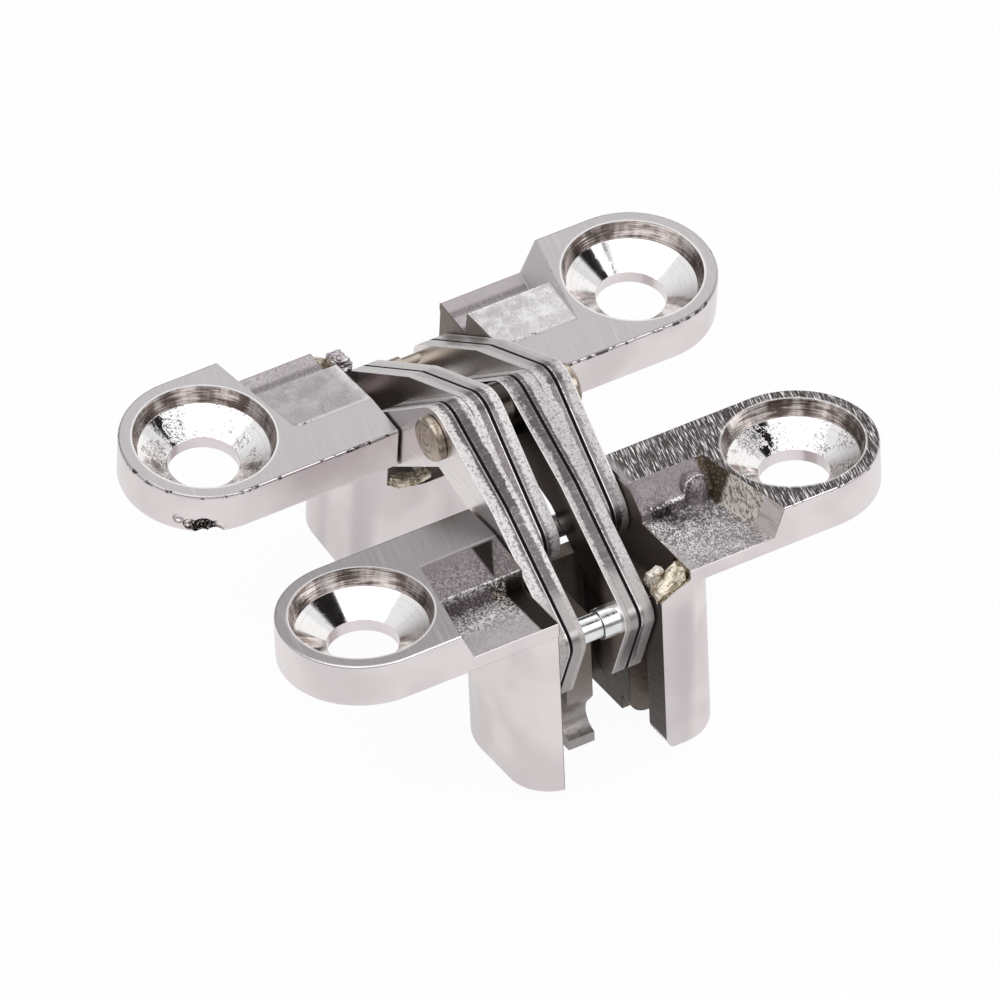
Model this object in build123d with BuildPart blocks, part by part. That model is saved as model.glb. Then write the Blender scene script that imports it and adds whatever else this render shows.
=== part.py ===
from build123d import *
from math import acos, atan2, cos, hypot, radians, sin, sqrt
import os

os.makedirs("parts", exist_ok=True)

# Leaves
leaf_length = 45.0
leaf_width = 11.6
leaf_gap = 9.08
open_angle = 172.0
ear_thickness = 3.4
barrel_depth = 16.6
barrel_inset = 0.05
front_barrel_half = 7.6
rear_barrel_half = 6.4
outer_corner = 3.2
mouth_corner = 1.8
front_inner_corner = 4.6
rear_inner_corner = 4.0
rim_round = 0.2
ear_round = 0.35
barrel_round = 0.6

# Screw holes
hole_spacing = 33.4
rim_radius = 4.84
seat_radius = 4.45
hole_radius = 2.43
rim_depth = 1.3
seat_depth = 2.5

# Pockets beside the barrel
pocket_back = 2.35
pocket_corner = 10.95
pocket_reach = 12.5
pocket_lean = radians(23)
front_pocket_floor = 2.2
rear_pocket_floor = 2.6
rib_radius = 0.95
rib_along = 9.45
rib_inward = 0.9
rib_depth = 0.1

# Casting flaw on one ear's lower edge: degrees round the ear's end, below the face, radius
flaw = ((30, 2.75, 0.8), (22, 2.95, 0.75), (39, 2.6, 0.5), (47, 2.3, 0.4))

# Link plates, from one end of the stack to the other
plate_thickness = 1.1
plate_gap = 0.05
middle_gap = 0.75
plate_count = 8
boss_radius = 2.1
arm_radius = 1.4
knee_radius = 1.35
foot_radius = 1.3
eye_radius = 1.9
foot_along = 1.5
foot_down = 4.6

# Linkage
pivot_inset = 2.0
pivot_depth = 2.6
slide_inset = 2.1
slide_depth = 5.4
rivet_height = 3.1
closed_gap = 3.2
arm_lift = 2.8

# Pins and spacers
pivot_pin_radius = 0.8
slide_pin_radius = 0.7
rivet_radius = 1.0
rivet_head_radius = 1.6
rivet_head_height = 0.7
pivot_pin_half = 5.5
slide_pin_seat = 0.45
sleeve_radius = 1.1
bush_radius = 0.9
bush_length = 1.65
washer_radius = 2.05

# Clearances
running_fit = 0.05
channel_fit = 0.18
side_room = 0.15
sleeve_room = 0.2

# Slots in the barrel
inner_wall = 1.3
outer_wall = 1.6
lip_wall = 2.2
lip_corner = 1.4
recess_front = 1.0
web_front = 1.9
cavity_depth = 6.0
notch_low = 4.1
notch_high = 2.9

leaf_half = leaf_width / 2
leaf_offset = leaf_gap / 2 + leaf_half
tilt = radians((180 - open_angle) / 2)
total_turn = radians(open_angle)
plate_pitch = plate_thickness + plate_gap
stack_half = (plate_count * plate_pitch - 2 * plate_gap + middle_gap) / 2
cavity_half = stack_half + side_room
face_height = (
    (barrel_depth - barrel_round) * cos(tilt)
    + barrel_round
    - (leaf_gap / 2 + barrel_inset + barrel_round) * sin(tilt)
)


def turned(point, angle):
    return (
        point[0] * cos(angle) - point[1] * sin(angle),
        point[0] * sin(angle) + point[1] * cos(angle),
    )


def added(first, second):
    return (first[0] + second[0], first[1] + second[1])


def taken(first, second):
    return (first[0] - second[0], first[1] - second[1])


def open_place(point):
    # from the front leaf's inward and upward directions to the open hinge's
    return turned((point[0] - leaf_offset, point[1]), -tilt)


# Linkage in the front leaf: inward from its centre line, then up from its face
pivot = (leaf_half - pivot_inset, -pivot_depth)
slide_open = (slide_inset - leaf_half, -slide_depth)
rivet_open = turned((0, rivet_height), tilt)
rivet_open = (rivet_open[0] + leaf_offset, rivet_open[1])
crank = hypot(*taken(rivet_open, pivot))
closed_rise = closed_gap / 2 + pivot_depth
closed_reach = sqrt(crank**2 - closed_rise**2)
open_lean = atan2(rivet_open[1] - pivot[1], rivet_open[0] - pivot[0])
swing = atan2(closed_rise, -closed_reach) - open_lean
scissor = total_turn - 2 * swing


def slide_place(share):
    rivet = added(pivot, turned(taken(rivet_open, pivot), swing * share))
    arm = turned(taken(slide_open, rivet_open), (swing + scissor) * share)
    return added(rivet, arm)


with BuildLine() as slide_track:
    ThreePointArc(slide_place(0), slide_place(0.5), slide_place(1))

# Link centres in the open hinge, seen along +X with the rear leaf to the right
pivot_place = open_place(pivot)
slide_rest = open_place(slide_open)
rivet_rest = (0, rivet_height)
arm_rest = added(pivot_place, (0, arm_lift))
foot_rest = added(slide_rest, (foot_along, -foot_down))
eye_rest = (-pivot_place[0], pivot_place[1])

front_face = Plane(
    origin=(0, -leaf_offset * cos(tilt), face_height + leaf_offset * sin(tilt)),
    x_dir=(1, 0, 0),
    z_dir=(0, sin(tilt), cos(tilt)),
)
rear_face = Plane(
    origin=(0, leaf_offset * cos(tilt), face_height + leaf_offset * sin(tilt)),
    x_dir=(-1, 0, 0),
    z_dir=(0, -sin(tilt), cos(tilt)),
)


def across(face, along):
    # plane square to the pins: inward to its right, up from the leaf's face
    return Plane(origin=face.from_local_coords((along, 0, 0)), x_dir=face.y_dir, z_dir=face.x_dir)


def cross_section(along):
    return Plane(origin=(along, 0, face_height), x_dir=(0, 1, 0), z_dir=(1, 0, 0))


def plate_start(index):
    start = index * plate_pitch - stack_half
    if index >= plate_count / 2:
        start += middle_gap - plate_gap
    return start


def plate_end(index):
    return plate_start(index) + plate_thickness


def area(left, right, near, far):
    with Locations(((left + right) / 2, (near + far) / 2)):
        Rectangle(right - left, far - near)


def bar(start, start_radius, end, end_radius):
    run = taken(end, start)
    heading = atan2(run[1], run[0])
    spread = acos((start_radius - end_radius) / hypot(*run))
    corners = [
        added(centre, turned((radius, 0), heading + side))
        for centre, radius, side in (
            (start, start_radius, spread),
            (end, end_radius, spread),
            (end, end_radius, -spread),
            (start, start_radius, -spread),
        )
    ]
    with Locations(start):
        Circle(start_radius)
    with Locations(end):
        Circle(end_radius)
    Polygon(*corners, align=None)


def make_leaf(face, barrel_half, corners, pocket_floor, steps, ribs, pits, label):
    upward = Axis(face.origin, face.z_dir)
    free_side = plate_end(5) + side_room
    link_slots = (
        (-cavity_half, plate_end(1) + side_room),
        (plate_end(3) - side_room, free_side),
    )
    with BuildPart() as leaf:
        # screw plate
        with BuildSketch(face):
            SlotOverall(leaf_length, leaf_width)
        extrude(amount=-ear_thickness)
        fillet(leaf.faces().sort_by(upward)[-1].edges(), rim_round)
        fillet(leaf.faces().sort_by(upward)[0].edges(), ear_round)
        # barrel
        with BuildSketch(face.offset(-ear_thickness / 2)) as outline:
            Rectangle(2 * barrel_half, leaf_width - 2 * barrel_inset)
            for along, inward, radius in zip((-1, 1, -1, 1), (-1, -1, 1, 1), corners):
                corner = (along * barrel_half, inward * (leaf_half - barrel_inset))
                fillet(outline.vertices().sort_by_distance(corner)[0], radius)
        extrude(amount=ear_thickness / 2 - barrel_depth)
        fillet(leaf.faces().sort_by(upward)[0].edges(), barrel_round)
        # screw holes: rim, screw seat and through hole
        for side in (-1, 1):
            hole = Plane(
                origin=face.from_local_coords((side * hole_spacing / 2, 0, 0)),
                x_dir=face.x_dir,
                z_dir=-face.y_dir,
            )
            with BuildSketch(hole):
                Polygon(
                    (0, 1),
                    (rim_radius, 1),
                    (rim_radius, 0),
                    (seat_radius, -rim_depth),
                    (hole_radius, -seat_depth),
                    (hole_radius, -barrel_depth),
                    (0, -barrel_depth),
                    align=None,
                )
            revolve(axis=Axis(hole.origin, face.z_dir), mode=Mode.SUBTRACT)
        # pockets that take the rivet heads
        for side, (step_at, step_drop) in zip((-1, 1), steps):
            slant = (pocket_reach - pocket_corner) / (pocket_back + leaf_half)
            edge = face.y_dir - face.x_dir * (side * slant)
            rise = face.z_dir * cos(pocket_lean) + face.x_dir * (side * sin(pocket_lean))
            end = Plane(
                origin=face.from_local_coords((side * (pocket_corner + slant * pocket_back), 0, 0)),
                x_dir=edge,
                z_dir=edge.cross(rise),
            )
            floor = pocket_floor / end.y_dir.dot(face.z_dir)
            drop = step_drop / end.y_dir.dot(face.z_dir)
            with BuildSketch(end):
                Polygon(
                    (pocket_back, 0),
                    (pocket_back, 1),
                    (-leaf_width, 1),
                    (-leaf_width, -floor),
                    (-step_at, -floor),
                    (-step_at, -drop),
                    align=None,
                )
            extrude(
                amount=pocket_reach - cavity_half + side_room,
                dir=face.x_dir * -side,
                mode=Mode.SUBTRACT,
            )
        # rounded rib standing in a pocket
        for along, inward in ribs:
            rib_top = -rib_depth - rib_radius
            with BuildSketch(face.offset(rib_top)):
                with Locations((along, inward)):
                    Circle(rib_radius)
            extrude(amount=-rib_top - pocket_floor)
            with Locations(face.from_local_coords((along, inward, rib_top))):
                Sphere(rib_radius)
        # pits left by the casting
        for round_end, below, radius in pits:
            outward = turned((0, leaf_half), -radians(round_end))
            pit = (leaf_length / 2 - leaf_half + outward[0], outward[1], -below)
            with Locations(face.from_local_coords(pit)):
                Sphere(radius, mode=Mode.SUBTRACT)
        # cavity for the short arms, open at the inner edge
        with BuildSketch(face):
            area(-cavity_half, cavity_half, outer_wall - leaf_half, leaf_width)
        extrude(amount=-cavity_depth, mode=Mode.SUBTRACT)
        # mouth at the outer edge and slots for the long arms, open below
        with BuildSketch(face):
            area(-cavity_half, free_side, -leaf_width, -web_front)
            area(free_side - side_room, cavity_half, lip_wall - leaf_half, -recess_front)
            for left, right in link_slots:
                area(left, right, -leaf_width, leaf_half - inner_wall)
        extrude(amount=-2 * barrel_depth, mode=Mode.SUBTRACT)
        # broken-down top and rounded lower corner of the outer wall
        with BuildSketch(Plane(face.origin, x_dir=face.x_dir, z_dir=-face.y_dir)):
            Polygon(
                (free_side - side_room, -notch_low),
                (cavity_half, -notch_high),
                (cavity_half, 1),
                (free_side - side_room, 1),
                align=None,
            )
            area(free_side - side_room, free_side + lip_corner, -2 * barrel_depth, lip_corner - barrel_depth)
            with Locations((free_side + lip_corner, lip_corner - barrel_depth)):
                Circle(lip_corner, mode=Mode.SUBTRACT)
        extrude(amount=leaf_width, mode=Mode.SUBTRACT)
        # channel for the slide pin
        with BuildSketch(across(face, -cavity_half - slide_pin_seat - channel_fit)):
            SlotArc(slide_track.edge(), 2 * (slide_pin_radius + channel_fit))
        extrude(amount=free_side + cavity_half + slide_pin_seat + channel_fit, mode=Mode.SUBTRACT)
        # room for the sleeves in front of the middle web
        with BuildSketch(across(face, plate_end(1))):
            SlotArc(slide_track.edge(), 2 * (sleeve_radius + sleeve_room))
        extrude(amount=plate_start(4) - plate_end(1), mode=Mode.SUBTRACT)
        # bore for the pivot pin
        with BuildSketch(across(face, -pivot_pin_half)):
            with Locations(pivot):
                Circle(pivot_pin_radius)
        extrude(amount=2 * pivot_pin_half, mode=Mode.SUBTRACT)
    leaf.part.label = label
    export_step(leaf.part, "parts/" + label + ".step")


def make_link(index, side, rivet_hole, label):
    # side 1 slides in the front leaf and turns on the rear pivot pin
    def placed(point):
        return (side * point[0], point[1])

    with BuildPart() as link:
        with BuildSketch(cross_section(plate_start(index))):
            bar(placed(rivet_rest), boss_radius, placed(arm_rest), arm_radius)
            bar(placed(arm_rest), arm_radius, placed(slide_rest), knee_radius)
            bar(placed(slide_rest), knee_radius, placed(foot_rest), foot_radius)
            bar(placed(rivet_rest), boss_radius, placed(eye_rest), eye_radius)
            for centre, radius in (
                (rivet_rest, rivet_hole),
                (slide_rest, slide_pin_radius),
                (eye_rest, pivot_pin_radius + running_fit),
            ):
                with Locations(placed(centre)):
                    Circle(radius, mode=Mode.SUBTRACT)
        extrude(amount=plate_thickness)
    link.part.label = label
    export_step(link.part, "parts/" + label + ".step")


def make_pin(centre, radius, start, end, label):
    with BuildPart() as pin:
        with BuildSketch(cross_section(start)):
            with Locations(centre):
                Circle(radius)
        extrude(amount=end - start)
    pin.part.label = label
    export_step(pin.part, "parts/" + label + ".step")


def make_ring(centre, hole, radius, start, end, label):
    with BuildPart() as ring:
        with BuildSketch(cross_section(start)):
            with Locations(centre):
                Circle(radius)
                Circle(hole, mode=Mode.SUBTRACT)
        extrude(amount=end - start)
    ring.part.label = label
    export_step(ring.part, "parts/" + label + ".step")


make_leaf(
    front_face,
    front_barrel_half,
    (outer_corner, outer_corner, front_inner_corner, front_inner_corner),
    front_pocket_floor,
    ((1.1, 0.7), (-0.6, 1.6)),
    ((rib_along, rib_inward),),
    (),
    "front_leaf",
)
make_leaf(
    rear_face,
    rear_barrel_half,
    (mouth_corner, outer_corner, rear_inner_corner, rear_inner_corner),
    rear_pocket_floor,
    ((2.3, 0.7), (2.3, 0.7)),
    (),
    flaw,
    "rear_leaf",
)

# Two plates of one set, then two of the other, twice over
for number, index in enumerate((0, 1, 4, 5), 1):
    make_link(index, 1, rivet_radius, f"rear_pivot_link_{number}")
for number, index in enumerate((2, 3, 6, 7), 1):
    make_link(index, -1, rivet_radius + running_fit, f"front_pivot_link_{number}")

pin_seat = cavity_half + slide_pin_seat
rear_slide_rest = (-slide_rest[0], slide_rest[1])
make_pin(pivot_place, pivot_pin_radius, -pivot_pin_half, pivot_pin_half, "front_pivot_pin")
make_pin(eye_rest, pivot_pin_radius, -pivot_pin_half, pivot_pin_half, "rear_pivot_pin")
make_pin(slide_rest, slide_pin_radius, -pin_seat, plate_end(5), "front_slide_pin")
make_pin(rear_slide_rest, slide_pin_radius, -plate_end(5), pin_seat, "rear_slide_pin")

# A slim and a wide sleeve keep the two pairs of each set apart on its slide pin
bush_end = plate_end(1) + bush_length
spacers = (
    (bush_radius, plate_end(1), bush_end),
    (sleeve_radius, bush_end + plate_gap, plate_start(4)),
)
for place, side in (("front", 1), ("rear", -1)):
    centre = (side * slide_rest[0], slide_rest[1])
    for number, (radius, start, end) in enumerate(spacers, 1):
        low, high = sorted((side * start, side * end))
        make_ring(centre, slide_pin_radius, radius, low, high, f"{place}_slide_sleeve_{number}")

make_ring(
    rivet_rest,
    rivet_radius,
    washer_radius,
    plate_end(3) + plate_gap,
    plate_start(4),
    "centre_washer",
)

with BuildPart() as rivet:
    with BuildSketch(cross_section(-stack_half - rivet_head_height)):
        with Locations(rivet_rest):
            Circle(rivet_radius)
    extrude(amount=2 * (stack_half + rivet_head_height))
    for side in (-1, 1):
        with BuildSketch(cross_section(side * (stack_half + plate_gap))):
            with Locations(rivet_rest):
                Circle(rivet_head_radius)
        extrude(amount=side * rivet_head_height)
    for end in (0, -1):
        fillet(rivet.faces().sort_by(Axis.X)[end].edges(), rivet_head_height / 2)
rivet.part.label = "centre_rivet"
export_step(rivet.part, "parts/centre_rivet.step")
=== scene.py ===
from math import cos, pi, radians, sin
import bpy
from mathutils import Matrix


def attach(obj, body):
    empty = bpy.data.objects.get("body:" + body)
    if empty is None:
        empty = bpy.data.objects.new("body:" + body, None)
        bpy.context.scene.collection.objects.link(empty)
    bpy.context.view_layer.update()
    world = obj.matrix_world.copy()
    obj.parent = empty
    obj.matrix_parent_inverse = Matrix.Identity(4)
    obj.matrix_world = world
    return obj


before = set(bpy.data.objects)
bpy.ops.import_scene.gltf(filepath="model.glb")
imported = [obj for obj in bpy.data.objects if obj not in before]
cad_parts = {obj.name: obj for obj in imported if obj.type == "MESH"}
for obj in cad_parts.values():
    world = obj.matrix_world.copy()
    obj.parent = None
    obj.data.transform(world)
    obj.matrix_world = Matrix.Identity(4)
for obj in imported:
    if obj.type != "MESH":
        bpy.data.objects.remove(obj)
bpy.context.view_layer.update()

from types import SimpleNamespace

import bpy
import numpy as np
from mathutils import Matrix, Vector

mm = 0.001
print("frame loaded with", len(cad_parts), "pieces")

# where the leaves, plates and rivet are, in millimetres, as in the frame
hinge = {
    "tilt": radians(4),
    "leafOffset": 10.34,
    "faceHeight": 16.19899,
    "plateFrom": 0.375,
    "platePitch": 1.15,
    "plateThickness": 1.1,
    "rivetHeight": 19.29899,
}


class Wire:
    # a node's socket that can stand in a sum
    def __init__(self, tree, socket):
        self.tree = tree
        self.socket = socket

    def node(self, kind, settings=None, sockets=None, out=0):  # settings first, then values or links
        made = self.tree.nodes.new(kind)
        for key, value in (settings or {}).items():
            setattr(made, key, value)
        for key, value in (sockets or {}).items():
            if isinstance(value, Wire):
                self.tree.links.new(value.socket, made.inputs[key])
            else:
                made.inputs[key].default_value = value
        return Wire(self.tree, made.outputs[out] if made.outputs else None)

    def pick(self, name):  # another output of the same node
        return Wire(self.tree, self.socket.node.outputs[name])

    def maths(self, operation, first, second):
        return self.node("ShaderNodeMath", {"operation": operation}, {0: first, 1: second})

    def __add__(self, other):
        return self.maths("ADD", self, other)

    def __radd__(self, other):
        return self.maths("ADD", other, self)

    def __sub__(self, other):
        return self.maths("SUBTRACT", self, other)

    def __rsub__(self, other):
        return self.maths("SUBTRACT", other, self)

    def __mul__(self, other):
        return self.maths("MULTIPLY", self, other)

    def __rmul__(self, other):
        return self.maths("MULTIPLY", other, self)

    def __truediv__(self, other):
        return self.maths("DIVIDE", self, other)

    def __pow__(self, other):
        return self.maths("POWER", self, other)

    def __abs__(self):
        return self.maths("ABSOLUTE", self, 0.0)


def rise(value, low, high):  # 0 at low to 1 at high, also when low is the larger
    sockets = {"Value": value, "From Min": low, "From Max": high}
    return value.node("ShaderNodeMapRange", {"interpolation_type": "SMOOTHSTEP"}, sockets)


def above(value, edge, soft):
    return rise(value, edge - soft, edge + soft)


def below(value, edge, soft):
    return rise(value, edge + soft, edge - soft)


def within(value, low, high, soft):
    return above(value, low, soft) * below(value, high, soft)


def larger(first, second):
    return first.maths("MAXIMUM", first, second)


def distance(first, *others):
    total = first ** 2.0
    for step in others:
        total = total + step ** 2.0
    return total ** 0.5


def blendColour(share, first, second):
    sides = {}
    for key, colour in ((6, first), (7, second)):  # the Mix node's two colour sockets
        sides[key] = colour if isinstance(colour, Wire) else (*colour, 1.0)
    return share.node("ShaderNodeMix", {"data_type": "RGBA"}, {0: share, **sides}, 2)


def stretched(spot, scale):
    return spot.node("ShaderNodeVectorMath", {"operation": "MULTIPLY"}, {0: spot, 1: scale})


def inMillimetres(spot):
    return stretched(spot, (1 / mm, 1 / mm, 1 / mm))


def xyz(spot):
    split = spot.node("ShaderNodeSeparateXYZ", {}, {"Vector": spot})
    return split.pick("X"), split.pick("Y"), split.pick("Z")


def grain(spot, scale, detail=2.0, rough=0.5, shift=0.0):
    sockets = {"Vector": spot, "W": shift, "Scale": scale, "Detail": detail, "Roughness": rough}
    return spot.node("ShaderNodeTexNoise", {"noise_dimensions": "4D"}, sockets)


def grainSet(spaces, rows):
    made = {}
    for name, (space, stretch, *settings) in rows.items():
        made[name] = grain(stretched(spaces[space], stretch), *settings)
    return SimpleNamespace(**made)


def newFinish(name):
    finish = bpy.data.materials.new(name)
    finish.use_nodes = True
    tree = finish.node_tree
    tree.nodes.clear()
    spot = Wire(tree, tree.nodes.new("ShaderNodeTexCoord").outputs["Object"])
    return finish, spot


def metalShader(spot, colour, rough, relief, metallic=1.0):
    # relief is in millimetres
    bump = spot.node("ShaderNodeBump", {}, {"Height": relief, "Distance": mm, "Strength": 1.0})
    sockets = {
        "Base Color": colour,
        "Roughness": rough,
        "Metallic": metallic,
        "Normal": bump,
        "Specular IOR Level": 0.25,
    }
    shader = spot.node("ShaderNodeBsdfPrincipled", {}, sockets)
    shader.node("ShaderNodeOutputMaterial", {}, {"Surface": shader})


# the two castings: side of the hinge, turn, pocket depth, tones of ground face, pocket facet and floor
frontCast = {
    "place": "front",
    "side": -1,
    "turn": 0.0,
    "drop": -2.2,
    "satin": (0.280, 0.264, 0.268),
    "satinLow": (0.232, 0.217, 0.221),
    "facet": (0.160, 0.132, 0.146),
    "facetPale": (0.42, 0.370, 0.395),
    "facetMean": (0.275, 0.238, 0.254),
    "floor": (0.17, 0.148, 0.156),
    "floorMean": (0.40, 0.370, 0.374),
    "grit": 1.0,
    "mottle": (0.40, 0.62),
    "stepLeft": -1.1,
    "stepRight": 0.6,
}
rearCast = {
    "place": "rear",
    "side": 1,
    "turn": pi,
    "drop": -2.6,
    "satin": (0.400, 0.382, 0.389),
    "satinLow": (0.362, 0.345, 0.352),
    "facet": (0.50, 0.482, 0.488),
    "facetPale": (0.80, 0.785, 0.785),
    "facetMean": (0.62, 0.60, 0.605),
    "floor": (0.36, 0.325, 0.335),
    "floorMean": (0.46, 0.425, 0.435),
    "grit": 0.35,
    "mottle": (0.322, 0.685),
    "stepLeft": -2.3,
    "stepRight": -2.3,
}

# places on a casting in leaf millimetres; a pair is an edge and how soft it is
leafPlan = {
    "crisp": 0.02,
    "halfSpacing": 16.7,
    "rimRadius": 4.84,
    "boreFrom": (4.46, 0.02),
    "coneFrom": (2.45, 0.02),
    "seatFoot": (-2.6, 0.04),
    "highlightRing": (4.96, 0.06),
    "faceFrom": (-0.045, 0.025),
    "edgeFoot": -0.24,
    "edgeMiddle": -0.15,
    "edgeTop": -0.02,
    "outerFront": (-5.60, 0.05),
    "outerEnd": (11.6, 0.1),
    "chippedBack": (5.35, 0.15),
    "chippedEnd": (9.25, 1.75),
    "pocketTop": -0.05,
    "floorSkin": 0.1,
    "floorTop": (0.08, 0.04),
    "pocketBack": (2.395, 0.025),
    "pocketFront": (-5.715, 0.025),
    "pocketStart": (5.085, 0.035),
    "pocketEnd": (11.44, 0.04),
    "endSlant": 0.19,
    "endDraft": 0.4245,
    "endWall": (11.355, 0.025),
    "rightEar": (5.5, 0.5),
    "slotEnd": (5.12, 0.02),
    "slotBack": (4.54, 0.02),
    "slotDepth": (-6.015, 0.015),
    "slotTop": (-0.31, 0.19),
    "freeSide": (2.1, 0.3),
    "freeShade": (2.83, 0.03),
    "freeWall": (2.805, 0.015),
    "freeWallBack": (-3.53, 0.03),
    "notchTop": (-4.10, 0.05),
    "notchFront": (-5.66, 0.02),
}

# noise on a casting: space, stretch, scale, detail, roughness, shift
evenly = (1.0, 1.0, 1.0)
castGrain = {
    "lines": ("sweep", (8.0, 0.22, 0.22), 1.0, 3.0, 0.62, 0.0),
    "gouges": ("sweep", (10.5, 0.8, 0.8), 1.0, 2.0, 0.6, 3.0),
    "broad": ("sweep", (2.2, 0.15, 0.15), 1.0, 2.0, 0.5, 4.0),
    "hatch": ("sweep", (9.0, 2.2, 3.0), 1.0, 2.0, 0.6, 2.0),
    "upright": ("leaf", (0.30, 0.30, 0.03), 1.0, 1.0, 0.4, 2.0),
    "turning": ("leaf", (0.5, 0.5, 8.0), 1.0, 2.0, 0.5, 1.0),
    "smear": ("leaf", (1.0, 1.0, 0.2), 0.7, 3.0, 0.6, 6.0),
    "speckle": ("leaf", evenly, 6.5, 3.0, 0.68, 0.0),
    "pepper": ("leaf", evenly, 13.0, 1.0, 0.5, 7.0),
    "coarse": ("leaf", evenly, 2.4, 3.0, 0.55, 5.0),
    "clouds": ("leaf", evenly, 0.20, 2.0, 0.5, 8.0),
    "patches": ("leaf", evenly, 0.8, 2.0, 0.5, 6.0),
}
grindingTurn = radians(13.6)


def leafOrigin(side):
    reach = hinge["leafOffset"]
    level = hinge["faceHeight"] + reach * sin(hinge["tilt"])
    return Vector((0.0, side * reach * cos(hinge["tilt"]), level)) * mm


def leafSpace(spot, cast):
    # millimetres along the leaf, in towards the other leaf and up from the ground face
    sockets = {
        "Vector": spot,
        "Location": leafOrigin(cast["side"]),
        "Rotation": (-hinge["tilt"], 0.0, cast["turn"]),
        "Scale": (mm, mm, mm),
    }
    return spot.node("ShaderNodeMapping", {"vector_type": "TEXTURE"}, sockets)


def castingZones(cast, leaf):
    along, inward, height = xyz(leaf)
    aside = abs(along)
    where = SimpleNamespace(along=along, inward=inward, height=height, aside=aside)
    crisp = leafPlan["crisp"]

    where.fromHole = distance(aside - leafPlan["halfSpacing"], inward)
    aboveFoot = above(height, *leafPlan["seatFoot"])
    where.inHole = below(where.fromHole, leafPlan["rimRadius"], crisp) * aboveFoot
    where.offHole = 1.0 - where.inHole
    where.onBore = where.inHole * above(where.fromHole, *leafPlan["boreFrom"])
    where.onCone = where.inHole * (1.0 - where.onBore) * above(where.fromHole, *leafPlan["coneFrom"])
    where.onFace = above(height, *leafPlan["faceFrom"]) * where.offHole
    where.onEdge = within(height, leafPlan["edgeFoot"], leafPlan["edgeTop"], crisp) * where.offHole
    where.rightEar = above(along, *leafPlan["rightEar"])

    pocketEnd = aside + leafPlan["endSlant"] * inward
    where.inPocket = (
        within(height, cast["drop"] - leafPlan["floorSkin"], leafPlan["pocketTop"], crisp)
        * below(inward, *leafPlan["pocketBack"])
        * below(pocketEnd, *leafPlan["pocketEnd"])
        * above(aside, *leafPlan["pocketStart"])
        * above(inward, *leafPlan["pocketFront"])
    )
    where.onFloor = where.inPocket * below(height - cast["drop"], *leafPlan["floorTop"])
    endWall = above(pocketEnd - leafPlan["endDraft"] * height, *leafPlan["endWall"])
    where.onEndWall = where.inPocket * endWall

    freeWall = above(along, *leafPlan["freeWall"]) * below(inward, *leafPlan["freeWallBack"])
    inSlot = below(aside, *leafPlan["slotEnd"])
    notch = above(height, *leafPlan["notchTop"]) * above(inward, *leafPlan["notchFront"])
    where.onNotch = freeWall * inSlot * notch
    where.inside = (
        inSlot
        * larger(below(inward, *leafPlan["slotBack"]), above(height, *leafPlan["slotDepth"]))
        * below(height, *leafPlan["slotTop"])
        * (1.0 - freeWall)
    )
    return where


plating = {
    "bright": (0.77, 0.712, 0.716),
    "cloud": (0.67, 0.612, 0.62),
    "shade": (0.56, 0.515, 0.525),
    "scratch": (0.055, 0.048, 0.046),
    # bright polished seat tone, also used for painted highlights on edges, steps and round the holes
    "polishedAndHighlight": (0.93, 0.915, 0.905),
    "black": (0.012, 0.009, 0.007),
    "shadeFrom": (-4.5, 1.5),
}


def platedSkin(where, noise):
    colour = blendColour(rise(noise.clouds, 0.38, 0.62), plating["bright"], plating["cloud"])
    shaded = rise(noise.upright, 0.46, 0.66) * below(where.height, *plating["shadeFrom"])
    return blendColour(shaded, colour, plating["shade"])


def groundFace(cast, where, noise):
    # fine grinding lines, deep ones on the front leaf's right end, a painted highlight ring round each hole
    ground = blendColour(rise(noise.lines, 0.36, 0.64) * 0.7, cast["satin"], cast["satinLow"])
    ground = blendColour(rise(noise.broad, 0.58, 0.74) * 0.12, ground, plating["bright"])
    if cast is frontCast:
        mark = rise(noise.gouges + 0.3 * (noise.broad - 0.5), 0.435, 0.505)
        ridge = blendColour(rise(noise.gouges, 0.44, 0.36), ground, plating["bright"])
        ground = blendColour(where.rightEar, ground, blendColour(mark, ridge, plating["scratch"]))
    return blendColour(below(where.fromHole, *leafPlan["highlightRing"]) * 0.4, ground, plating["polishedAndHighlight"])


def edgeHighlightShadeAndChips(cast, where, noise, colour):
    # a painted highlight line on the front leaf, painted shade on the rear one, under the face's edge, with
    # small chips
    if cast is frontCast:
        leftEar = 1.0 - where.rightEar
        outerFront = below(where.inward, *leafPlan["outerFront"])
        outer = larger(outerFront, above(where.aside, *leafPlan["outerEnd"]))
        upper = within(where.height, leafPlan["edgeMiddle"], leafPlan["edgeTop"], leafPlan["crisp"])
        colour = blendColour(upper * where.offHole * leftEar * outer * 0.5, colour, plating["polishedAndHighlight"])
        chipped = 0.12 - 0.2 * leftEar
    else:
        colour = blendColour(where.onEdge * 0.6, colour, plating["shade"])
        backEdge = above(where.inward, *leafPlan["chippedBack"])
        chipped = 0.12 + 0.10 * backEdge * below(where.along, *leafPlan["chippedEnd"])
    chips = where.onEdge * rise(noise.coarse + 0.5 * (noise.patches - 0.5) + chipped, 0.70, 0.76) * 0.9
    return blendColour(chips, colour, plating["scratch"]), chips


pocket = {
    "pale": (0.80, 0.765, 0.775),
    "dark": (0.085, 0.070, 0.074),
    "facetPlain": (1.05, 0.85),
    "floorPlain": (-3.3, 1.1),
    "stepShade": (-0.32, -0.05, 0.04),
    "stepHighlight": (-0.06, 0.10, 0.03),
}


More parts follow.
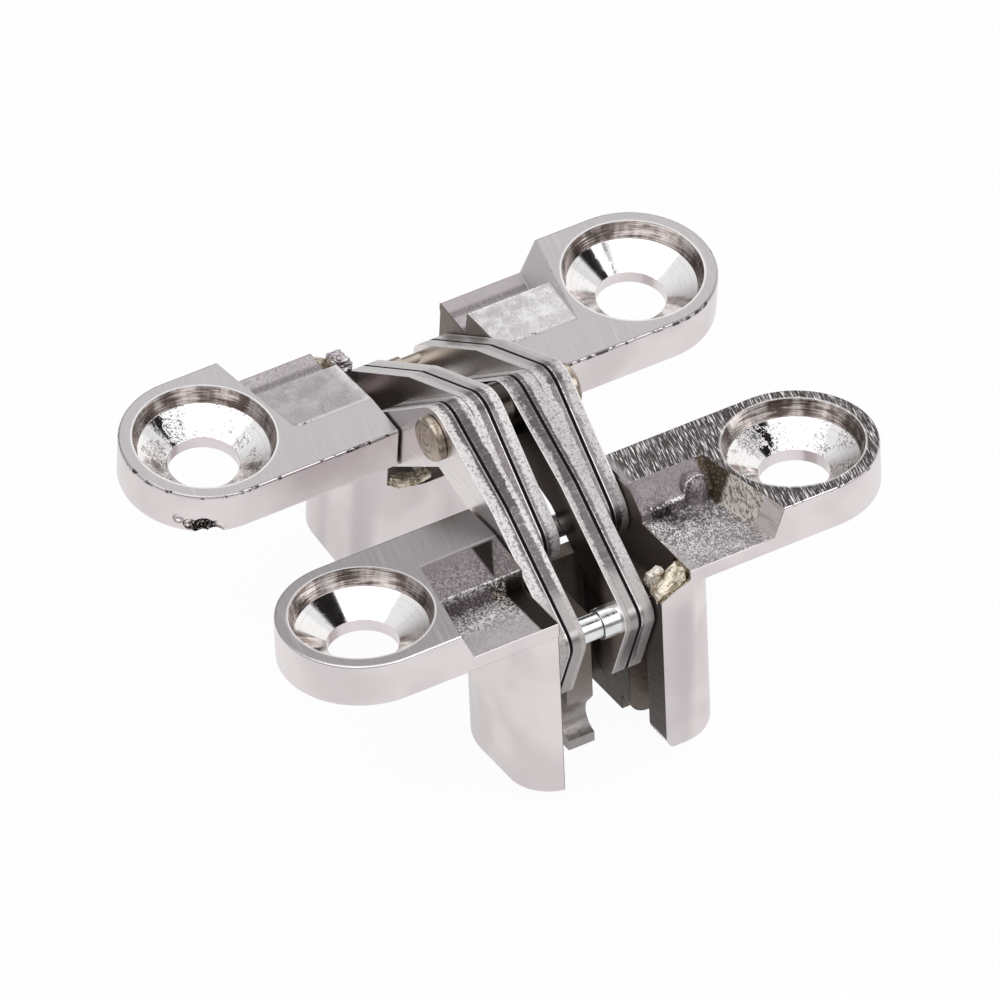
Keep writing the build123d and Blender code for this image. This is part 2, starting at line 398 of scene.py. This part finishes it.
def castPocket(cast, where, noise):
    # mottled facet, gritty floor, and a painted shade line with dotted painted highlights along the step
    # between them
    speckle, hatch, patches = noise.speckle, noise.hatch, noise.patches
    grit = cast["grit"]
    mottle = grit * speckle + (1.0 - grit) * patches + 0.5 * (hatch - 0.5) + 0.3 * (patches - 0.5)
    facet = blendColour(rise(mottle, *cast["mottle"]), cast["facet"], cast["facetPale"])
    facet = blendColour(above(where.inward, *pocket["facetPlain"]) * 0.65, facet, cast["facetMean"])

    gritty = rise(speckle + 0.6 * (hatch - 0.5) + 0.3 * (patches - 0.5), 0.42, 0.58)
    floor = blendColour(gritty, cast["floor"], pocket["pale"])
    dashes = rise(hatch + 0.4 * (noise.pepper - 0.5), 0.55, 0.62) * (0.35 + 0.6 * where.rightEar)
    floor = blendColour(dashes, floor, pocket["dark"])
    plain = below(where.inward + 0.8 * (patches - 0.5), *pocket["floorPlain"])
    floor = blendColour(plain * (0.85 - 0.5 * where.rightEar), floor, cast["floorMean"])

    colour = blendColour(where.onFloor, facet, floor)
    step = cast["stepLeft"] + (cast["stepRight"] - cast["stepLeft"]) * where.rightEar
    stepShade = within(where.inward - step, *pocket["stepShade"]) * rise(speckle, 0.60, 0.44)
    colour = blendColour(stepShade * 0.8, colour, pocket["dark"])
    stepHighlight = within(where.inward - step, *pocket["stepHighlight"]) * rise(speckle, 0.46, 0.54)
    return blendColour(stepHighlight, colour, plating["polishedAndHighlight"])


# single marks in the front pockets: tones, slants, and edges or bands with how soft they are
frontMarks = {
    "fleckDark": (0.04, 0.032, 0.026),
    "fleckPale": (0.85, 0.80, 0.72),
    "fleckSlant": 0.5,
    "fleckBand": (-8.0, -7.0, 0.2),
    "fleckTop": (-1.05, 0.15),
    "fleckFoot": (-2.8, 0.4),
    "fleckSide": (-4.5, 0.5),
    "openingShadeFrom": (-6.39, 0.09),
    "openingShadeTo": (-4.95, 0.05),
    "openingShadeTop": (-1.125, 0.075),
    "strip": (0.13, 0.11, 0.095),
    "stripStretch": (5.0, 0.4, 0.4),
    "stripTo": (-5.05, 0.05),
    "sunkFrom": (-7.075, 0.125),
    "sunkFoot": (-1.025, 0.075),
    "hollowShadeTo": (-6.575, 0.125),
    "hollowShadeSlant": 0.536,
    "wallPale": (0.90, 0.86, 0.79),
    "wallDark": (0.30, 0.26, 0.22),
    "roundPale": (0.74, 0.67, 0.67),
    "roundStreak": (0.36, 0.28, 0.25),
    "streakStretch": (0.4, 0.4, 3.0),
    "roundFrom": (-3.9, 0.2),
    "corner": (0.085, 0.062, 0.040),
    "cornerFrom": (10.325, 0.125),
    "cornerFoot": (-0.5, 0.25),
    "wedgeShade": (0.04, 0.034, 0.036),
    "wedgeSlant": 0.8,
    "wedgeBand": (6.0, 7.8, 0.4),
    "wedgeReach": (-0.9, 0.75, 0.15),
}


def frontPocketMarks(leaf, where, noise, colour):
    marks = frontMarks
    along, inward, speckle = where.along, where.inward, noise.speckle

    # left: painted shade on the facet, a band of flecks, painted shade where the opening beside the barrel
    # is, dark strips and painted shade in a sunk corner
    leftFacet = (1.0 - where.onFloor) * (1.0 - where.rightEar)
    colour = blendColour(leftFacet * 0.22, colour, plating["black"])
    flecks = within(along + marks["fleckSlant"] * inward, *marks["fleckBand"])
    flecks = flecks * below(inward, *marks["fleckTop"]) * above(inward, *marks["fleckFoot"])
    flecks = flecks * below(along, *marks["fleckSide"])
    fleck = blendColour(rise(speckle, 0.50, 0.56), marks["fleckDark"], marks["fleckPale"])
    colour = blendColour(flecks * 0.8, colour, fleck)
    # painted shade: black where the hollow beside the barrel lies in shadow
    openingShade = above(along + 0.4 * (speckle - 0.5), *marks["openingShadeFrom"])
    openingShade = openingShade * below(along, *marks["openingShadeTo"]) * below(inward, *marks["openingShadeTop"])
    colour = blendColour(openingShade, colour, plating["black"])
    upperEnd = above(along, *marks["sunkFrom"]) * above(inward, *marks["sunkFoot"])
    strips = rise(grain(stretched(leaf, marks["stripStretch"]), 1.0, 2.0, 0.5, 3.0), 0.42, 0.58)
    colour = blendColour(upperEnd * below(along, *marks["stripTo"]) * strips * 0.8, colour, marks["strip"])
    # painted shade in the sunk corner, speckled at its edge
    hollowShade = upperEnd * below(along - marks["hollowShadeSlant"] * inward, *marks["hollowShadeTo"])
    colour = blendColour(hollowShade * rise(speckle, 0.78, 0.66), colour, plating["black"])

    # right: the scored end wall, smooth where it turns round, painted brown shade in the back corner and
    # painted shade in a dark wedge
    scored = rise(noise.hatch + 0.5 * (speckle - 0.5), 0.47, 0.60)
    wall = blendColour(scored, marks["wallPale"], marks["wallDark"])
    streaks = rise(grain(stretched(leaf, marks["streakStretch"]), 1.0, 2.0, 0.5, 9.0), 0.50, 0.66)
    roundEnd = blendColour(streaks * 0.5, marks["roundPale"], marks["roundStreak"])
    wall = blendColour(below(inward, *marks["roundFrom"]), wall, roundEnd)
    colour = blendColour(where.onEndWall * where.rightEar, colour, wall)
    # painted brown shade in the pocket's back corner
    corner = above(inward + 0.5 * (noise.patches - 0.5), *marks["cornerFoot"])
    corner = corner * above(along, *marks["cornerFrom"]) * where.rightEar
    colour = blendColour(corner * rise(speckle, 0.68, 0.56), colour, marks["corner"])
    # painted shade: a dark wedge at the pocket's inner end
    wedgeShade = within(along + marks["wedgeSlant"] * inward, *marks["wedgeBand"])
    wedgeShade = wedgeShade * within(inward, *marks["wedgeReach"]) * where.rightEar
    return blendColour(wedgeShade * rise(noise.hatch, 0.40, 0.54), colour, marks["wedgeShade"])


rearMarks = {
    "facet": (0.25, 0.238, 0.248),
    "band": (0.11, 0.094, 0.102),
    "upperBand": (-3.0, -2.25, 0.2),
    "lowerBand": (-4.65, -4.05, 0.22),
    "endWall": (0.60, 0.57, 0.57),
    "dent": (19.6, 5.2, -2.9),  # a small hollow under the rounded end, painted as a spot of dark shade
    "dentRadius": (1.225, 0.125),
    "dentTop": (-1.85, 0.05),
    "dentSkin": (5.71, 0.03),
    "dentShade": (0.012, 0.009, 0.008),
}


def rearPocketMarks(where, noise, colour):
    # painted shade on the facet of the ear past along 5.5
    colour = blendColour((1.0 - where.onFloor) * where.rightEar * 0.6, colour, rearMarks["facet"])
    colour = blendColour(where.onFloor * 0.45, colour, rearCast["floor"])
    lowerBand = 0.8 * within(where.inward, *rearMarks["lowerBand"])
    bands = larger(within(where.inward, *rearMarks["upperBand"]), lowerBand)
    bands = bands * rise(noise.speckle + 0.5 * (noise.hatch - 0.5), 0.26, 0.54)
    colour = blendColour(where.onFloor * bands * 0.85, colour, rearMarks["band"])
    return blendColour(where.onEndWall, colour, rearMarks["endWall"])


def rearDentShade(where, noise, colour):
    # painted shade where a small hollow is, speckled at its edge
    along, inward, height = rearMarks["dent"]
    away = distance(where.along - along, where.inward - inward, where.height - height)
    dent = below(away, *rearMarks["dentRadius"]) * below(where.fromHole, *rearMarks["dentSkin"])
    dent = dent * below(where.height, *rearMarks["dentTop"])
    return blendColour(dent * rise(noise.speckle, 0.66, 0.52), colour, rearMarks["dentShade"])


screwHole = {
    "bore": (0.115, 0.088, 0.078),
    "boreBright": (0.58, 0.535, 0.52),
    "worn": (0.34, 0.32, 0.33),
    "groove": (0.45, 0.43, 0.43),
    "groovesPerMm": 9.0,
}


def screwHoles(where, noise, colour):
    # a turned rim, and a bright seat with fine grooves that is worn at the right end
    streaky = rise(0.6 * noise.turning + 0.9 * (noise.smear - 0.25), 0.40, 0.66)
    rim = blendColour(streaky, screwHole["bore"], screwHole["boreBright"])
    colour = blendColour(where.onBore, colour, rim)
    outward = where.fromHole * screwHole["groovesPerMm"]
    grooves = grain(outward.node("ShaderNodeCombineXYZ", {}, {"X": outward, "Y": where.height}), 1.0, 1.0)
    worn = rise(noise.patches + 0.5 * (noise.speckle - 0.5), 0.50, 0.60) * (0.1 + 0.9 * where.rightEar)
    seat = blendColour(worn * rise(noise.speckle, 0.48, 0.58), plating["polishedAndHighlight"], screwHole["worn"])
    seat = blendColour(rise(grooves, 0.58, 0.70) * 0.35, seat, screwHole["groove"])
    return blendColour(where.onCone, colour, seat), worn


barrel = {
    # painted shade tones for the barrel's inside, then the torn metal's tones
    "inside": (0.19, 0.158, 0.136),
    "foot": (0.40, 0.37, 0.37),
    "footFrom": (-12.5, 3.0),
    "rough": (0.22, 0.18, 0.15),
    "freeShade": (0.055, 0.048, 0.048),
    "torn": (0.20, 0.16, 0.11),
    "brass": (0.74, 0.67, 0.55),
}


def barrelInside(where, noise, colour):
    # painted shade inside the barrel: dark, paler towards the open foot, darkest on the free side, with
    # torn metal on the notch
    freeSide = above(where.along, *leafPlan["freeSide"])
    paler = below(where.height, *barrel["footFrom"]) * (1.0 - freeSide)
    depth = blendColour(paler, barrel["inside"], barrel["foot"])
    depth = blendColour(rise(noise.coarse, 0.50, 0.66) * 0.35, depth, barrel["rough"])
    darkest = freeSide * below(where.along, *leafPlan["freeShade"])
    depth = blendColour(darkest * 0.8, depth, barrel["freeShade"])
    colour = blendColour(where.inside, colour, depth)
    torn = blendColour(rise(noise.speckle, 0.42, 0.62), barrel["torn"], barrel["brass"])
    return blendColour(where.onNotch, colour, torn)


castRough = {
    "skin": 0.24,
    "face": 0.10,
    "pocket": 0.22,
    "inside": 0.2,
    "bore": -0.03,
    "seat": -0.16,
    "speckle": 0.10,
}
castRelief = {  # millimetres
    "skin": 0.004,
    "lines": 0.003,
    "gouges": 0.022,
    "pocketSpeckle": 0.035,
    "pocketCoarse": 0.05,
    "pocketHatch": 0.03,
    "wornSeat": 0.015,
    "turning": 0.012,
    "unevenSeat": 0.03,
    "inside": 0.05,
    "chips": -0.04,
}


def castingRoughness(where, noise, worn):
    rough = castRough["skin"] + castRough["face"] * where.onFace + castRough["pocket"] * where.inPocket
    rough = rough + castRough["inside"] * where.inside + castRough["bore"] * where.onBore
    rough = rough + castRough["seat"] * where.onCone * (1.0 - worn)
    return rough + castRough["speckle"] * (noise.speckle - 0.5)


def castingRelief(cast, where, noise, worn, chips):
    depth = castRelief
    asCast = (
        depth["pocketSpeckle"] * noise.speckle
        + depth["pocketCoarse"] * noise.coarse
        + depth["pocketHatch"] * noise.hatch
    )
    relief = (
        depth["skin"] * noise.coarse * where.offHole * (1.0 - where.onFace)
        + depth["lines"] * where.onFace * noise.lines
        + where.inPocket * asCast
        + depth["wornSeat"] * where.onCone * worn * noise.speckle
        + depth["turning"] * where.onBore * noise.turning
        + depth["unevenSeat"] * (1.0 - cast["grit"]) * where.onCone * where.rightEar * noise.coarse
        + depth["inside"] * where.inside * noise.coarse
        + depth["chips"] * chips
    )
    if cast is frontCast:
        relief = relief + depth["gouges"] * where.onFace * where.rightEar * noise.gouges
    return relief


def castingFinish(cast):
    finish, spot = newFinish(cast["place"] + "Plating")
    leaf = leafSpace(spot, cast)
    sweep = leaf.node("ShaderNodeMapping", {}, {"Vector": leaf, "Rotation": (0.0, 0.0, grindingTurn)})
    where = castingZones(cast, leaf)
    noise = grainSet({"leaf": leaf, "sweep": sweep}, castGrain)

    colour = blendColour(where.onFace, platedSkin(where, noise), groundFace(cast, where, noise))
    colour, chips = edgeHighlightShadeAndChips(cast, where, noise, colour)
    asCast = castPocket(cast, where, noise)
    if cast is frontCast:
        asCast = frontPocketMarks(leaf, where, noise, asCast)
    else:
        asCast = rearPocketMarks(where, noise, asCast)
    colour = blendColour(where.inPocket, colour, asCast)
    colour, worn = screwHoles(where, noise, colour)
    colour = barrelInside(where, noise, colour)
    if cast is rearCast:
        colour = rearDentShade(where, noise, colour)

    rough = castingRoughness(where, noise, worn)
    relief = castingRelief(cast, where, noise, worn, chips)
    metallic = 1.0 - 0.35 * where.inPocket - 0.3 * where.onEndWall - 0.3 * where.inside
    metalShader(spot, colour, rough, relief, metallic)
    return finish


# stamped plates: tones, then places in millimetres from the seam, across the stack and back along the hinge
stamping = {
    "dark": (0.150, 0.133, 0.138),
    "darkRib": (0.24, 0.221, 0.223),
    "pale": (0.56, 0.533, 0.536),
    "paleLeftLit": (0.70, 0.67, 0.672),
    "paleGrit": (0.21, 0.190, 0.195),
    "glint": (0.85, 0.83, 0.82),
    "creaseShade": (0.006, 0.005, 0.005),
    "face": (0.78, 0.735, 0.73),
    "faceLow": (0.62, 0.575, 0.565),
    "smooth": (0.66, 0.63, 0.63),
    "knee": (0.44, 0.412, 0.408),
    "gapShade": (0.12, 0.10, 0.09),
    "seam": (-0.12, 0.12, 0.025),
    "glintAfter": (0.14, 0.19, 0.02),
    "glintBefore": (-0.19, -0.16, 0.02),
    "cutEdge": (0.012, 0.988, 0.006),
    "innerGlint": (0.0725, 0.0125),
    "outerGlint": (4.4675, 0.0125),
    "gapFace": (0.008, 0.004),
    "gapFrom": (-12.8, 0.6),
    "kneeFrom": (-12.9, 0.7),
    "smoothFrom": (1.4, 1.0),
    "leftHalf": (0.0, 0.4),
}
linkGrain = {  # space, stretch, scale, detail, roughness, shift
    "speckle": ("body", evenly, 5.0, 3.0, 0.68, 0.0),
    "fine": ("body", evenly, 9.0, 1.0, 0.5, 3.0),
    "slowWave": ("body", evenly, 0.55, 2.0, 0.6, 9.0),
    "quickWave": ("body", evenly, 3.0, 2.0, 0.6, 1.0),
    "drift": ("body", (1.1, 0.05, 0.05), 1.0, 1.0, 0.5, 5.0),
    "ribs": ("body", (0.6, 5.0, 5.0), 1.0, 1.0, 0.5, 5.0),
    "brushed": ("body", (0.5, 0.5, 7.0), 1.0, 2.0, 0.5, 2.0),
}


def linkFinish(name):
    finish, spot = newFinish(name)
    body = inMillimetres(spot)
    sideways, back = xyz(body)[:2]
    across = abs(sideways) - hinge["plateFrom"]
    plate = across / hinge["platePitch"]
    through = (plate - plate.maths("FLOOR", plate, 0.0)) * (hinge["platePitch"] / hinge["plateThickness"])
    pair = across.maths("MODULO", across, 2 * hinge["platePitch"])
    fromSeam = pair - (hinge["platePitch"] + hinge["plateThickness"]) / 2
    noise = grainSet({"body": body}, linkGrain)
    speckle, drift = noise.speckle, noise.drift

    # each pair of plates: torn pale band outside, dark sheared band along the seam between them
    wave = noise.slowWave + 0.3 * noise.quickWave
    wander = abs(fromSeam) + 0.5 * (wave - 0.65) + 1.5 * (drift - 0.5)
    torn = rise(wander + 0.5 * (speckle - 0.5), 0.46, 0.66)
    onEdge = within(through, *stamping["cutEdge"])
    seam = within(fromSeam, *stamping["seam"])
    glintBefore = within(fromSeam, *stamping["glintBefore"]) * 0.5
    glint = onEdge * larger(within(fromSeam, *stamping["glintAfter"]), glintBefore)
    glint = glint * rise(drift + 0.6 * (noise.fine - 0.5), 0.40, 0.52)
    outer = onEdge * larger(below(across, *stamping["innerGlint"]), above(across, *stamping["outerGlint"]))
    # painted shade on the plate faces either side of the middle gap
    gapShadeMask = below(across, *stamping["gapFace"]) * above(back, *stamping["gapFrom"])

    dark = blendColour(rise(noise.ribs, 0.45, 0.70) * 0.6, stamping["dark"], stamping["darkRib"])
    dark = blendColour(rise(speckle, 0.56, 0.70) * 0.6, dark, stamping["pale"])
    # painted light: the torn band is paler on the left half of the stack
    pale = blendColour(below(sideways, *stamping["leftHalf"]), stamping["pale"], stamping["paleLeftLit"])
    pale = blendColour(rise(speckle, 0.52, 0.38) * 0.7, pale, stamping["paleGrit"])
    pale = blendColour(rise(noise.fine, 0.56, 0.66) * 0.5, pale, stamping["glint"])
    edge = blendColour(torn, dark, pale)
    edge = blendColour(above(back, *stamping["smoothFrom"]) * 0.75, edge, stamping["smooth"])
    edge = blendColour(below(back, *stamping["kneeFrom"]) * 0.7, edge, stamping["knee"])
    edge = blendColour(larger(glint, outer) * 0.85, edge, stamping["glint"])
    # painted shade: a near-black crease over the gap between the plates of a pair
    edge = blendColour(seam, edge, stamping["creaseShade"])
    face = blendColour(rise(noise.brushed, 0.42, 0.66) * 0.5, stamping["face"], stamping["faceLow"])
    face = blendColour(gapShadeMask, face, stamping["gapShade"])
    colour = blendColour(larger(onEdge, seam), face, edge)
    rough = 0.30 + onEdge * (0.06 + 0.14 * torn) + 0.12 * (speckle - 0.5) + 0.3 * seam
    relief = 0.003 * noise.brushed + onEdge * (1.0 - seam) * 0.03 * torn * speckle
    metalShader(spot, colour, rough, relief, 1.0 - 0.6 * seam - 0.3 * onEdge * torn)
    return finish


pinLook = {
    "turnedSteel": (0.78, 0.79, 0.79),
    "rearPinShade": (0.40, 0.35, 0.29),
    "washerShade": (0.05, 0.042, 0.036),
    "smear": 0.72,
    "turnStretch": (9.0, 0.6, 0.6),
}


def pinFinish(name):
    finish, spot = newFinish(name)
    body = inMillimetres(spot)
    tint = pinLook[name]
    turnLines = grain(stretched(body, pinLook["turnStretch"]), 1.0, 3.0, 0.6)
    smears = grain(body, 0.9, 2.0, 0.5, 2.0)
    smeared = [pinLook["smear"] * share for share in tint]
    colour = blendColour(rise(smears, 0.4, 0.7) * 0.5, tint, smeared)
    rough = 0.14 + 0.12 * rise(turnLines, 0.3, 0.7)
    metalShader(spot, colour, rough, 0.004 * turnLines)
    return finish


rivetLook = {
    "bronze": (0.44, 0.375, 0.31),
    "groove": (0.17, 0.13, 0.105),
    "score": (0.85, 0.78, 0.70),
    "ringsPerMm": 2.2,
    "scoreStretch": (1.0, 6.0, 1.2),
}


def rivetFinish(name):
    # turned rings round the rivet's axis that wander a little, and a few bright scores
    finish, spot = newFinish(name)
    body = inMillimetres(spot)
    back, height = xyz(body)[1:]
    fromAxis = distance(back, height - hinge["rivetHeight"])
    wander = grain(body, 1.1, 2.0, 0.5)
    turns = (fromAxis * rivetLook["ringsPerMm"] + 0.8 * wander) * (2 * pi)
    rings = rise(turns.maths("SINE", turns, 0.0) + 5.0 * (wander - 0.5), 0.2, 1.0)
    colour = blendColour(rings * 0.65, rivetLook["bronze"], rivetLook["groove"])
    scores = rise(grain(stretched(body, rivetLook["scoreStretch"]), 1.0, 2.0, 0.5, 4.0), 0.62, 0.68)
    colour = blendColour(scores * 0.7, colour, rivetLook["score"])
    metalShader(spot, colour, 0.30 + 0.12 * rings, 0.008 * rings)
    return finish


def dress(node, finish):
    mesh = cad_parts[node].data
    for slot in range(len(mesh.materials)):
        mesh.materials[slot] = finish


dress("front_leaf", castingFinish(frontCast))
dress("rear_leaf", castingFinish(rearCast))
dress("centre_rivet", rivetFinish("bronzedRivet"))
# painted shade: the washer is near black so the gap round the rivet reads dark
dress("centre_washer", pinFinish("washerShade"))
linkSteel = linkFinish("stampedSteel")
pinSteel = pinFinish("turnedSteel")
# painted shade: the rear slide pins get a dark brown tone for the shadow they sit in
darkPin = pinFinish("rearPinShade")
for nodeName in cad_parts:
    if "_link_" in nodeName:
        dress(nodeName, linkSteel)
    elif nodeName.startswith("rear_slide"):
        dress(nodeName, darkPin)
    elif "_pin" in nodeName or "_sleeve_" in nodeName:
        dress(nodeName, pinSteel)
print("finishes on", len(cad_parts), "pieces")

# rough lumps of cast metal: middle and half sizes (along, inward, up) in millimetres, slope along the leaf
lumps = {
    "front_notch_stub": {
        "cast": frontCast, "tone": "brass", "slope": 0.52, "seed": 3,
        "middle": (4.00, -4.72, -3.55), "half": (1.28, 0.84, 0.60),
    },
    "front_notch_chip": {
        "cast": frontCast, "tone": "pale", "slope": 0.3, "seed": 8,
        "middle": (3.45, -3.75, -3.30), "half": (0.62, 0.42, 0.62),
    },
    "rear_notch_stub": {
        "cast": rearCast, "tone": "grey", "slope": 0.2, "seed": 5,
        "middle": (3.45, -4.70, -3.55), "half": (0.66, 0.95, 0.90),
    },
    "rear_notch_skin_1": {
        "cast": rearCast, "tone": "brass", "slope": 0.25, "seed": 11,
        "middle": (4.20, 5.25, -5.45), "half": (0.85, 0.45, 0.42),
    },
    "rear_notch_skin_2": {
        "cast": rearCast, "tone": "brass", "slope": -0.1, "seed": 14,
        "middle": (3.05, 5.35, -5.55), "half": (0.75, 0.40, 0.42),
    },
}
lumpLook = {
    "brass": ("rawBrass", barrel["brass"], (0.32, 0.26, 0.18)),
    "pale": ("rawPale", (0.80, 0.76, 0.70), (0.34, 0.29, 0.23)),
    "grey": ("rawGrey", (0.62, 0.58, 0.60), (0.30, 0.26, 0.28)),
    "glint": (0.92, 0.88, 0.80),
    "pit": (0.06, 0.045, 0.035),
    "rows": 72,
    "columns": 144,
    "squareness": 0.65,
    "waves": ((0.10, 2.2), (0.07, 4.5), (0.045, 9.0), (0.025, 17.0)),  # strength and pitch
    "wavesEach": 4,
}


def lumpFinish(name, tint, shade):
    finish, spot = newFinish(name)
    body = inMillimetres(spot)
    speckle = grain(body, 5.0, 3.0, 0.6)
    coarse = grain(body, 1.9, 2.0, 0.55, 4.0)
    colour = blendColour(rise(coarse, 0.56, 0.40), tint, shade)
    colour = blendColour(rise(speckle, 0.60, 0.70) * 0.8, colour, lumpLook["glint"])
    colour = blendColour(rise(speckle, 0.42, 0.30) * 0.8, colour, lumpLook["pit"])
    metalShader(spot, colour, 0.30 + 0.2 * coarse, 0.10 * coarse + 0.05 * speckle)
    return finish


def lumpSurface(half, seed):
    # a pebble: a sphere's points drawn towards a box, pushed in and out by a sum of waves
    tilt = np.linspace(-pi / 2, pi / 2, lumpLook["rows"])[:, None]
    turn = np.linspace(0, 2 * pi, lumpLook["columns"], endpoint=False)[None, :]
    ball = np.stack([
        np.cos(tilt) * np.cos(turn),
        np.cos(tilt) * np.sin(turn),
        np.sin(tilt) * np.ones_like(turn),
    ], -1)
    shape = np.sign(ball) * np.abs(ball) ** lumpLook["squareness"]
    draw = np.random.default_rng(seed)
    push = np.ones(shape.shape[:2])
    for strength, pitch in lumpLook["waves"]:
        for wave in draw.normal(size=(lumpLook["wavesEach"], 3)):
            phase = draw.uniform(0, 2 * pi)
            push += strength * np.sin(ball @ (wave * pitch) + phase) / 2
    return shape * push[..., None] * np.array(half)


def closedMesh(name, points):
    # rows of a closed round surface, each pole drawn together to one point
    rows, columns = points.shape[:2]
    ring = points[1:-1].reshape(-1, 3)
    poles = np.stack([points[0].mean(0), points[-1].mean(0)])
    index = np.arange((rows - 2) * columns).reshape(rows - 2, columns)
    following = np.roll(index, -1, 1)
    quads = np.stack([index[:-1], following[:-1], following[1:], index[1:]], -1).reshape(-1, 4)
    low = np.stack([following[0], index[0], np.full(columns, len(ring))], -1)
    high = np.stack([index[-1], following[-1], np.full(columns, len(ring) + 1)], -1)
    mesh = bpy.data.meshes.new(name)
    faces = quads.tolist() + low.tolist() + high.tolist()
    mesh.from_pydata(np.concatenate([ring, poles]).tolist(), [], faces)
    mesh.polygons.foreach_set("use_smooth", np.ones(len(faces), bool))
    return mesh


def toHinge(points, cast):
    # from leaf millimetres to the hinge's own metres
    lean = hinge["tilt"]
    leafAxes = np.array([
        (-cast["side"], 0.0, 0.0),
        (0.0, -cast["side"] * cos(lean), -sin(lean)),
        (0.0, -cast["side"] * sin(lean), cos(lean)),
    ])
    return points @ leafAxes * mm + np.array(leafOrigin(cast["side"]))


lumpFinishes = {tone: lumpFinish(*lumpLook[tone]) for tone in ("brass", "pale", "grey")}
for lumpName, lump in lumps.items():
    cast = lump["cast"]
    surface = lumpSurface(lump["half"], lump["seed"])
    surface[..., 2] += lump["slope"] * surface[..., 0]
    surface = toHinge(surface + np.array(lump["middle"]), cast)
    piece = bpy.data.objects.new(lumpName, closedMesh(lumpName, surface))
    piece.data.materials.append(lumpFinishes[lump["tone"]])
    bpy.context.scene.collection.objects.link(piece)
    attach(piece, cast["place"] + "_side")
print("lumps of cast metal:", len(lumps))


studio = {
    "floorHalf": 3.0,
    "floorTone": (0.90, 0.90, 0.905),
    "white": (1.0, 1.0, 1.0),
    "whiteSeen": 0.955,
    "whiteMirrored": 0.78,
    "roomTone": (0.5, 0.5, 0.5),
    "roomLow": (0.17, 0.16, 0.155),
    "roomHigh": (0.86, 0.86, 0.87),
    "roomHighFrom": 0.75,
    "softboxes": (  # place, size and radiance
        ((-0.21, -0.05, 0.93), 0.95, 1.08),
        ((0.37, -0.58, 0.65), 0.55, 1.9),
        ((0.42, 0.72, 0.72), 0.90, 0.66),
    ),
    "openings": (  # heading, how close to it, tone: a window, then a dark doorway that the seats mirror
        ((0.880, 0.360, 0.310), (0.91, 0.01), (1.0, 1.0, 1.0)),
        ((0.509, -0.228, 0.830), (0.965, 0.01), (0.012, 0.010, 0.010)),
    ),
}


def floorFinish():
    # matt for light, nearly white for the camera and in reflections
    finish, spot = newFinish("paleFloor")
    matt = spot.node("ShaderNodeBsdfDiffuse", {}, {"Color": (*studio["floorTone"], 1.0)})
    white = spot.node("ShaderNodeEmission", {}, {"Color": (*studio["white"], 1.0), "Strength": 1.0})
    path = spot.node("ShaderNodeLightPath")
    mirrored = larger(path.pick("Is Glossy Ray"), path.pick("Is Transmission Ray"))
    share = larger(path.pick("Is Camera Ray") * studio["whiteSeen"], mirrored * studio["whiteMirrored"])
    shader = share.node("ShaderNodeMixShader", {}, {0: share, 1: matt, 2: white})
    shader.node("ShaderNodeOutputMaterial", {}, {"Surface": shader})
    return finish


reach = studio["floorHalf"]
corners = [(-reach, -reach, 0.0), (reach, -reach, 0.0), (reach, reach, 0.0), (-reach, reach, 0.0)]
floorMesh = bpy.data.meshes.new("floor")
floorMesh.from_pydata(corners, [], [(0, 1, 2, 3)])
floorMesh.materials.append(floorFinish())
floor = bpy.data.objects.new("floor", floorMesh)
bpy.context.scene.collection.objects.link(floor)

aim = Vector((0.0, 0.0, hinge["faceHeight"] * mm))
for number, (place, size, radiance) in enumerate(studio["softboxes"], 1):
    lamp = bpy.data.lights.new(f"softbox{number}", "AREA")
    lamp.shape = "SQUARE"
    lamp.size = size
    lamp.energy = radiance * pi * size * size
    holder = bpy.data.objects.new(f"softbox{number}", lamp)
    holder.location = place
    holder.rotation_euler = (aim - Vector(place)).to_track_quat("-Z", "Y").to_euler()
    bpy.context.scene.collection.objects.link(holder)

world = bpy.data.worlds.new("studio")
world.use_nodes = True
bpy.context.scene.world = world
world.node_tree.nodes.clear()
sky = Wire(world.node_tree, world.node_tree.nodes.new("ShaderNodeTexCoord").outputs["Generated"])
eastward, northward, skyward = xyz(sky)
path = sky.node("ShaderNodeLightPath")
roomColour = blendColour(rise(skyward, 0.0, studio["roomHighFrom"]), studio["roomLow"], studio["roomHigh"])
for (east, north, high), closeness, tone in studio["openings"]:
    towards = eastward * east + northward * north + skyward * high
    roomColour = blendColour(above(towards, *closeness), roomColour, tone)
mirroredRoom = blendColour(path.pick("Is Glossy Ray"), studio["roomTone"], roomColour)
seen = blendColour(path.pick("Is Camera Ray"), mirroredRoom, studio["white"])
backdrop = sky.node("ShaderNodeBackground", {}, {"Color": seen, "Strength": 1.0})
backdrop.node("ShaderNodeOutputWorld", {}, {"Surface": backdrop})
print("floor, softboxes and room ready")

sight = {  # distances in millimetres
    "azimuth": radians(-30.863),
    "elevation": radians(41.145),
    "distance": 1014.9,
    "shiftRight": 0.08,
    "shiftUp": -3.515,
    "lens": 547.85,
    "sensor": 36.0,
}
right = Vector((cos(sight["azimuth"]), sin(sight["azimuth"]), 0.0))
backward = Vector((
    sin(sight["azimuth"]) * cos(sight["elevation"]),
    -cos(sight["azimuth"]) * cos(sight["elevation"]),
    sin(sight["elevation"]),
))
upward = backward.cross(right)
target = aim + mm * (sight["shiftRight"] * right + sight["shiftUp"] * upward)
cameraData = bpy.data.cameras.new("camera")
cameraData.sensor_width = sight["sensor"]
cameraData.lens = sight["lens"]
camera = bpy.data.objects.new("camera", cameraData)
turnMatrix = Matrix((right, upward, backward)).transposed().to_4x4()
camera.matrix_world = Matrix.Translation(target + mm * sight["distance"] * backward) @ turnMatrix
bpy.context.scene.collection.objects.link(camera)
bpy.context.scene.camera = camera
bpy.context.scene.view_settings.view_transform = "Standard"
print("camera set")
